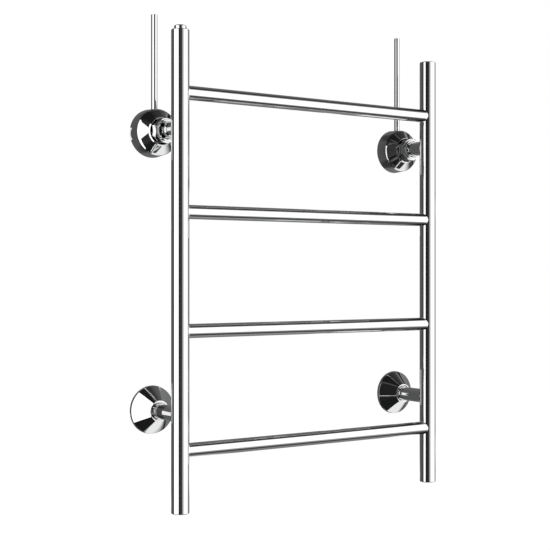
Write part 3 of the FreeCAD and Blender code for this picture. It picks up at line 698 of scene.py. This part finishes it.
def plate_half(centre, side, outline, low, high):
    """Half of a round wall plate, as rays from its screw hole. At each angle the plate ends where
    the ray meets its outline, or the middle line between the two halves. Rows run up the
    hole, over the front, round the broken edge and back; at the middle line the edge is
    sharp, so that the halves meet flush."""
    corner = math.atan2(outline, -HOLE_AT)
    ray = np.unique(np.concatenate([FULL_TURN, [corner, 2 * math.pi - corner]]))
    along, across = np.cos(ray), np.sin(ray)
    to_round = -HOLE_AT * along + np.sqrt(outline**2 - (HOLE_AT * across) ** 2)
    with np.errstate(divide="ignore"):
        to_middle = np.where(along < 0, -HOLE_AT / np.minimum(along, -1e-9), np.inf)
    reach = np.minimum(to_round, to_middle)[None]
    broken = EDGE * (to_round < to_middle)[None]
    flat = 0 * reach
    rows = np.vstack([
        HOLE + EDGE + flat, HOLE + flat, HOLE + flat, HOLE + EDGE + flat,
        reach - broken, reach, reach, reach - broken,
    ])
    height = np.vstack([
        low + flat, low + EDGE + flat, high - EDGE + flat, high + flat,
        high + flat, high - broken, low + broken, low + flat,
    ])
    rows, height = np.vstack([rows, rows[:1]]), np.vstack([height, height[:1]])
    axes = (side * ACROSS, UP, -INTO_WALL)
    return about(centre + side * HOLE_AT * ACROSS, axes, rows, height, ray)


def wall_elbow(side):
    """Brass elbow: round plate with two screw holes, neck, union thread, and a threaded port
    that points up to the feed pipe."""
    node = f"{side}_wall_elbow"
    centre = fixing(f"{side}_union_nut")
    back, face = depths(node)
    neck, thread = 14.5 * MM, half_width(f"{side}_inlet_stub") + 1.4 * MM
    radius, height = threaded(face - UNION_THREAD, face - 0.4 * MM, thread, 1.2 * MM, UNION_PITCH)
    flat = 0 * FULL_TURN
    start = rounded([(neck, back), (neck, face - UNION_THREAD)])
    floor_of_bore = back + 5 * MM
    mouth = rounded([
        (thread - EDGE, face),
        (UNION_BORE, face, 2 * EDGE),
        (UNION_BORE, floor_of_bore),
        (0, floor_of_bore),
    ])
    rows = np.vstack([np.zeros((1, len(flat))), start[:, :1] + flat, radius, mouth[:, :1] + flat])
    rise = np.vstack([back + flat[None], start[:, 1:] + flat, height, mouth[:, 1:] + flat])
    body = about(centre, ON_WALL, rows, rise)
    axis = np.array([centre[0], middle(f"{side}_feed_pipe")[1], 0])
    olive_low = span(f"{side}_olive")[0][2]
    port, boss = half_width(f"{side}_olive") + 0.3 * MM, half_width(f"{side}_olive") + 2 * MM
    boss_top = olive_low - 7 * MM
    radius, height = threaded(boss_top, olive_low - EDGE, port, 0.6 * MM, PORT_PITCH)
    start = rounded([(0, centre[2]), (boss, centre[2]), (boss, boss_top, 2 * EDGE), (0, boss_top)])[:-1]
    socket = half_width(f"{side}_feed_pipe") + 0.1 * MM
    seat = span(f"{side}_feed_pipe")[0][2]
    mouth = rounded([(port - EDGE, olive_low), (socket, olive_low, EDGE), (socket, seat), (0, seat)])
    rows = np.vstack([start[:, :1] + flat, radius, mouth[:, :1] + flat])
    rise = np.vstack([start[:, 1:] + flat, height, mouth[:, 1:] + flat])
    riser = about(axis, STANDING, rows, rise)
    outline = half_width(node)
    halves = [plate_half(centre, way, outline, back, back + PLATE) for way in (-1, 1)]
    grids = [body, riser, *halves]
    return piece(f"{side}_elbow_casting", node, grids, BRASS, closed=False)


def rosette(side):
    """Short rim, a cone up to a rolled lip, and a throat with a guide ring close round the arm."""
    node = f"{side}_rosette"
    depth = depths(node)[1]
    rim = half_width(node)
    lip = half_width(f"{side}_friction_ring") + 2 * MM
    throat, throat_back = lip - 2 * MM, depth - 14 * MM
    rim_depth, sheet = 5 * MM, 1.2 * MM
    guide = STUB_RADIUS + 0.35 * MM
    return piece(f"{side}_rosette_cone", node, [turned(fixing(node), ON_WALL, [
        (rim - sheet, 0, 0.4 * MM),
        (rim, 0, 0.4 * MM),
        (rim - 0.6 * MM, rim_depth, 0.8 * MM),
        (lip, depth, 0.9 * MM),
        (throat + 0.5 * MM, depth, 0.5 * MM),
        (throat - 0.4 * MM, depth - 1.3 * MM, 0.6 * MM),
        (guide, depth - 3.4 * MM, 0.4 * MM),
        (guide, depth - 4.6 * MM, 0.3 * MM),
        (throat, depth - 5.4 * MM, 0.3 * MM),
        (throat, throat_back, 0.3 * MM),
        (throat + sheet, throat_back, 0.3 * MM),
        (throat + sheet, depth - 4 * MM),
        (rim - 0.6 * MM - sheet, rim_depth - 0.4 * MM),
    ], steps=10)], CHROME_FITTING)


def wall_socket(side):
    """Round zinc plate with two screw holes and the spigot that the arm sits on."""
    node = f"{side}_wall_socket"
    centre, outline = fixing(node), half_width(node)
    face = depths(node)[1]
    spigot = STUB_RADIUS - ARM_WALL - 0.1 * MM
    grids = [plate_half(centre, way, outline, 0, PLATE) for way in (-1, 1)]
    grids.append(turned(centre, ON_WALL, [
        (0, PLATE / 2),
        (spigot, PLATE / 2),
        (spigot, face, 2 * EDGE),
        (0, face),
    ]))
    return piece(f"{side}_socket_plate", node, grids, ZINC, closed=False)


def vent_boss():
    """The ring welded into the left tube's top, left plain because the vent hides its thread."""
    low, high = span("vent_boss")
    outer, bore = half_width("vent_boss") - 0.02 * MM, half_width("vent_needle") + 3.4 * MM
    return plain_ring("vent_boss_ring", "vent_boss", STANDING, [
        (bore, low[2], EDGE),
        (outer, low[2], EDGE),
        (outer, high[2], EDGE),
        (bore, high[2], EDGE),
    ], CHROME_TUBE)


def vent_cap():
    """Low domed cap over the air vent."""
    low, high = span("vent_cap")
    outer, wall = half_width("vent_cap"), 0.55 * MM
    axis = np.array([*middle("vent_cap")[:2], 0])
    return piece("vent_cap_dome", "vent_cap", [turned(axis, STANDING, [
        (0, high[2] - 3 * wall),
        (outer - wall, high[2] - 3 * wall, 1.2 * MM),
        (outer - wall, low[2], 0.2 * MM),
        (outer, low[2], 0.2 * MM),
        (outer, high[2] - 1.6 * MM, 1.4 * MM),
        (outer * 0.7, high[2] - 0.2 * MM, 5 * MM),
        (0, high[2]),
    ])], CHROME_FITTING, closed=False)


# Put together

for side in SIDES:
    upright(side)
    end_disc(f"{side}_bottom_end_plug")
    inlet_stub(side)
    bracket_arm(side)
    union_nut(side)
    cover_cup(side)
    feed_pipe(side)
    pipe_nut(side)
    olive(side)
    wall_elbow(side)
    rosette(side)
    wall_socket(side)
    for name, node, bore, edge, finish, slot in (
        ("gasket", "union_gasket", UNION_BORE, 0.3 * MM, RUBBER, "rubber_seal"),
        ("slip_ring", "slip_washer", STUB_RADIUS + 0.1 * MM, 0.2 * MM, NYLON, "nylon_washer"),
        ("grip_ring", "friction_ring", STUB_RADIUS + 0.05 * MM, 0.8 * MM, RUBBER, "rubber_seal"),
    ):
        flat_ring(f"{side}_{name}", f"{side}_{node}", bore, edge, finish)
end_disc("right_top_end_plug")
for node in RUNGS:
    rung(node)
vent_boss()
vent_cap()

# Small and hidden pieces keep their CAD shape and take a finish.
KEPT = {
    "left_backing_plate": ZINC,
    "right_backing_plate": ZINC,
    "left_grub_screw": STEEL,
    "right_grub_screw": STEEL,
    "vent_body": BRASS,
    "vent_washer": RUBBER,
    "vent_needle": STEEL,
    "vent_o_ring": RUBBER,
}
for node, finish in KEPT.items():
    for holder in frame["nodes"][node].material_slots:
        holder.material = finish


# Stage

def look_from(place, heading, lens):
    """A level camera."""
    data = bpy.data.cameras.new("camera")
    data.lens = lens
    camera = bpy.data.objects.new("camera", data)
    camera.location = place
    camera.rotation_euler = (math.pi / 2, 0, -math.radians(heading))
    bpy.context.scene.collection.objects.link(camera)
    bpy.context.scene.camera = camera


CAMERA_PLACE = (-1.1353, -1.6656, -0.0054)
CAMERA_HEADING = 34  # degrees to the right of straight at the wall
LENS = 76.95
look_from(CAMERA_PLACE, CAMERA_HEADING, LENS)
bpy.context.scene.view_settings.view_transform = "Standard"

WHITE = 1.0
LIT_FROM_ALL_SIDES = 1.08  # what matt surfaces receive, enough to turn the floor white
HALF_TURN = 180
FLOOR_HALF, FLOOR_HEIGHT = 6, -0.95
AROUND = (  # studio walls: heading in degrees, from straight out of the wall towards the right
    (-180, 0.12), (-126, 0.085), (-108, 0.05), (-66, 0.014), (-48, 0.018), (-28, 0.045), (-10, 0.035),
    (8, 0.07), (40, 0.5), (88, 0.42), (104, 0.2), (135, 0.17), (180, 0.12),
)
ABOVE = (  # what is over and under those walls, by heading
    (-180, 0.05), (-130, 0.03), (-100, 0.012), (0, 0.012), (40, 0.03), (75, 0.04), (100, 0.13),
    (140, 0.14), (180, 0.09),
)
BELOW = (
    (-180, 0.05), (-130, 0.03), (-100, 0.012), (0, 0.012), (40, 0.035), (66, 0.05), (84, 0.24),
    (120, 0.26), (180, 0.12),
)


def ramp_of(tree, angle, stops):
    """Brightness by angle: the angle, over the whole turn, laid over a colour ramp."""
    share = add_node(tree, "ShaderNodeMapRange", {"Value": angle}, **{
        "From Min": -math.radians(HALF_TURN), "From Max": math.radians(HALF_TURN),
    })
    ramp = tree.nodes.new("ShaderNodeValToRGB")
    held = ramp.color_ramp.elements
    while len(held) < len(stops):
        held.new(0.5)
    for element, (degrees, _) in zip(held, stops):
        element.position = (degrees + HALF_TURN) / (2 * HALF_TURN)
    for element, (_, radiance) in zip(held, stops):
        element.color = (radiance, radiance, radiance, 1)
    tree.links.new(share.outputs["Result"], ramp.inputs["Fac"])
    return ramp.outputs["Color"]


def blended(tree, factor, first, second):
    """A colour that goes from first to second with the factor. Each of the two is a colour
    socket or a plain brightness."""
    mix = add_node(tree, "ShaderNodeMix", {"Factor": factor}, data_type="RGBA")
    sockets = [socket for socket in mix.inputs if socket.type == "RGBA"]
    for socket, colour in zip(sockets, (first, second)):
        if isinstance(colour, float):
            socket.default_value = (colour, colour, colour, 1)
        else:
            tree.links.new(colour, socket)
    return next(socket for socket in mix.outputs if socket.type == "RGBA")


def passed(tree, angle, start, end):
    """How far an angle has gone from start to end, both in degrees."""
    return add_node(tree, "ShaderNodeMapRange", {"Value": angle}, **{
        "From Min": math.radians(start), "From Max": math.radians(end),
    }).outputs["Result"]


def studio_world():
    """White to the camera, even and soft for matt surfaces, and a dim studio in reflections,
    whose walls go round with the heading and give way to its floor and ceiling."""
    world = bpy.data.worlds.new("studio")
    world.use_nodes = True
    bpy.context.scene.world = world
    tree = world.node_tree
    place = tree.nodes.new("ShaderNodeTexCoord").outputs["Generated"]
    way = add_node(tree, "ShaderNodeSeparateXYZ", {"Vector": place})
    out = add_node(tree, "ShaderNodeMath", {0: way.outputs["Y"]}, operation="MULTIPLY")
    out.inputs[1].default_value = -1
    heading = add_node(
        tree, "ShaderNodeMath", {0: way.outputs["X"], 1: out.outputs[0]}, operation="ARCTAN2"
    ).outputs[0]
    rise = add_node(tree, "ShaderNodeMath", {0: way.outputs["Z"]}, operation="ARCSINE").outputs[0]
    studio = ramp_of(tree, heading, AROUND)
    studio = blended(tree, passed(tree, rise, -32, -44), studio, ramp_of(tree, heading, BELOW))
    studio = blended(tree, passed(tree, rise, 38, 48), studio, ramp_of(tree, heading, ABOVE))
    seen = tree.nodes.new("ShaderNodeLightPath").outputs
    unseen = blended(tree, seen["Is Glossy Ray"], LIT_FROM_ALL_SIDES, studio)
    everything = blended(tree, seen["Is Camera Ray"], unseen, WHITE)
    tree.links.new(everything, tree.nodes["Background"].inputs["Color"])


def softbox(name, corner, across, up, radiance, fades):
    """A flat light seen only in reflections, and only from its front, where across runs to
    the right and up runs up. It brightens from its edges over the given shares of its size:
    left, right, bottom, top."""
    mesh = bpy.data.meshes.new(name)
    corner, across, up = np.array(corner, float), np.array(across, float), np.array(up, float)
    points = [corner, corner + across, corner + across + up, corner + up]
    mesh.from_pydata([tuple(point) for point in points], [], [(0, 1, 2, 3)])
    mesh.uv_layers.new(name="panel").data.foreach_set("uv", [0, 0, 1, 0, 1, 1, 0, 1])
    material = bpy.data.materials.new(name)
    material.use_nodes = True
    tree = material.node_tree
    tree.nodes.clear()
    place = add_node(tree, "ShaderNodeUVMap", uv_map="panel").outputs["UV"]
    split = add_node(tree, "ShaderNodeSeparateXYZ", {"Vector": place})
    brightness = None
    for axis, side, fade in zip("XXYY", (0, 1, 0, 1), fades):
        edge = add_node(
            tree, "ShaderNodeMapRange", {"Value": split.outputs[axis]}, interpolation_type="SMOOTHSTEP",
            **{"From Min": side, "From Max": abs(side - max(fade, 0.001))},
        )
        if brightness is None:
            edge.inputs["To Max"].default_value = radiance
            brightness = edge.outputs["Result"]
        else:
            brightness = product(tree, brightness, edge.outputs["Result"])
    glow = add_node(tree, "ShaderNodeEmission", {"Strength": brightness})
    back = tree.nodes.new("ShaderNodeNewGeometry").outputs["Backfacing"]
    clear = tree.nodes.new("ShaderNodeBsdfTransparent")
    faces = add_node(
        tree, "ShaderNodeMixShader", {0: back, 1: glow.outputs["Emission"], 2: clear.outputs["BSDF"]}
    )
    end = tree.nodes.new("ShaderNodeOutputMaterial")
    tree.links.new(faces.outputs["Shader"], end.inputs["Surface"])
    mesh.materials.append(material)
    panel = bpy.data.objects.new(name, mesh)
    bpy.context.scene.collection.objects.link(panel)
    panel.visible_camera = panel.visible_diffuse = panel.visible_shadow = False


def floor():
    """A wide pale floor under the rack, out of sight of its reflections."""
    mesh = bpy.data.meshes.new("floor")
    corners = [
        (x * FLOOR_HALF, y * FLOOR_HALF, FLOOR_HEIGHT) for x, y in ((-1, -1), (1, -1), (1, 1), (-1, 1))
    ]
    mesh.from_pydata(corners, [], [(0, 1, 2, 3)])
    material, _, shader = new_material("pale_floor")
    shader.inputs["Base Color"].default_value = (0.95, 0.95, 0.95, 1)
    shader.inputs["Roughness"].default_value = 0.9
    shader.inputs["Specular IOR Level"].default_value = 0
    mesh.materials.append(material)
    ground = bpy.data.objects.new("floor", mesh)
    bpy.context.scene.collection.objects.link(ground)
    ground.visible_glossy = False


studio_world()
floor()
for name, corner, across, up, radiance, fades in (
    ("left", (-0.61, -0.395, -0.62), (0, 0.445, 0), (0, 0, 1.24), 1.5, (0.03, 0.03, 0.02, 0.02)),
    ("front", (2.6, -2.3, -1.75), (-3.55, 0, 0), (0, 0, 4.5), 1.3, (0, 0.58, 0.04, 0.04)),
    ("right", (2.6, 0.4, -1.75), (0, -2.7, 0), (0, 0, 4.5), 1.3, (0.6, 0, 0.04, 0.04)),
):
    softbox(f"{name}_softbox", corner, across, up, radiance, fades)

# Behind the wall beside each fitting a narrow strip lights its arm, and under it a slanted
# card lights the lower front of its cup or rosette.
STRIP_BEHIND, STRIP_HALF_HEIGHT = 0.07, 0.036
STRIP_FADES = (0.1, 0.1, 0.06, 0.06)
CARD_CORNER = (-0.003, -0.08, -0.155)
CARD_ACROSS, CARD_UP = (0.14, 0, 0.085), (0, 0.125, 0)
CARD_FADES = (0.02, 0.45, 0.05, 0.3)
for side, aside, width in (("left", -0.096, 0.04), ("right", -0.108, 0.045)):
    for fitting in (f"{side}_union_nut", f"{side}_rosette"):
        x, _, z = middle(fitting)
        corner = (x + aside, STRIP_BEHIND, z - STRIP_HALF_HEIGHT)
        strip_up = (0, 0, 2 * STRIP_HALF_HEIGHT)
        softbox(f"{fitting}_strip", corner, (width, 0, 0), strip_up, 1.0, STRIP_FADES)
        corner = (x + CARD_CORNER[0], CARD_CORNER[1], z + CARD_CORNER[2])
        softbox(f"{fitting}_card", corner, CARD_ACROSS, CARD_UP, 0.95, CARD_FADES)
